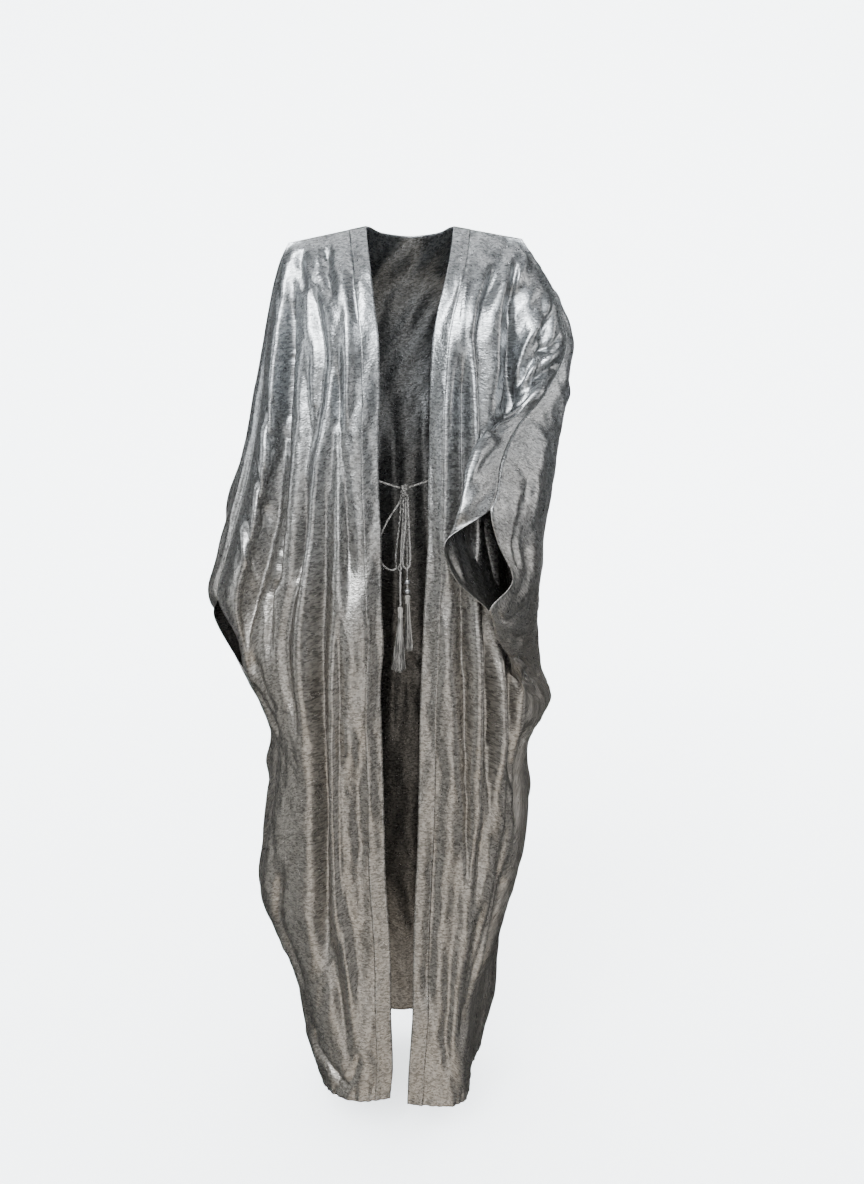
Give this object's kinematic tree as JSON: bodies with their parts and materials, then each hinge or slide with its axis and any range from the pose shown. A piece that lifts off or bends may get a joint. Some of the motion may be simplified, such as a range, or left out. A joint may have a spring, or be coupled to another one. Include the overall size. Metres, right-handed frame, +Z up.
{
  "type": "abaya",
  "caption": "Long open-front batwing abaya of crinkled silver lame in a worn pose, hollow, with a thin tied belt and tassels.",
  "frame": {"origin": "between the shoulders, level with the shoulder-neck points, where the wearer's shoulders hold the garment", "axes": "+Z up, +X to the wearer's left, the open front faces -Y"},
  "size_m": [0.6074, 0.3861, 1.4707],
  "materials": {
    "silver_lame": "crinkled metallic silver lame with a warm tint, glossy with fine hammered grain",
    "braid": "braided grey cord and tassel threads, slight sheen",
    "bead": "small silver-grey beads"
  },
  "bodies": {
    "root": {"front_right": "silver_lame", "front_left": "silver_lame", "back": "silver_lame", "front_band_right": "silver_lame", "front_band_left": "silver_lame", "belt_cord_right": "braid", "belt_cord_left": "braid", "belt_loop_right": "braid", "belt_loop_left": "braid", "belt_loop_side": "braid", "belt_tail_long": "braid", "belt_tail_short": "braid", "belt_knot": "braid", "bead_upper": "bead", "bead_lower": "bead", "tassel_long": "braid", "tassel_short": "braid"}
  },
  "joints": []
}
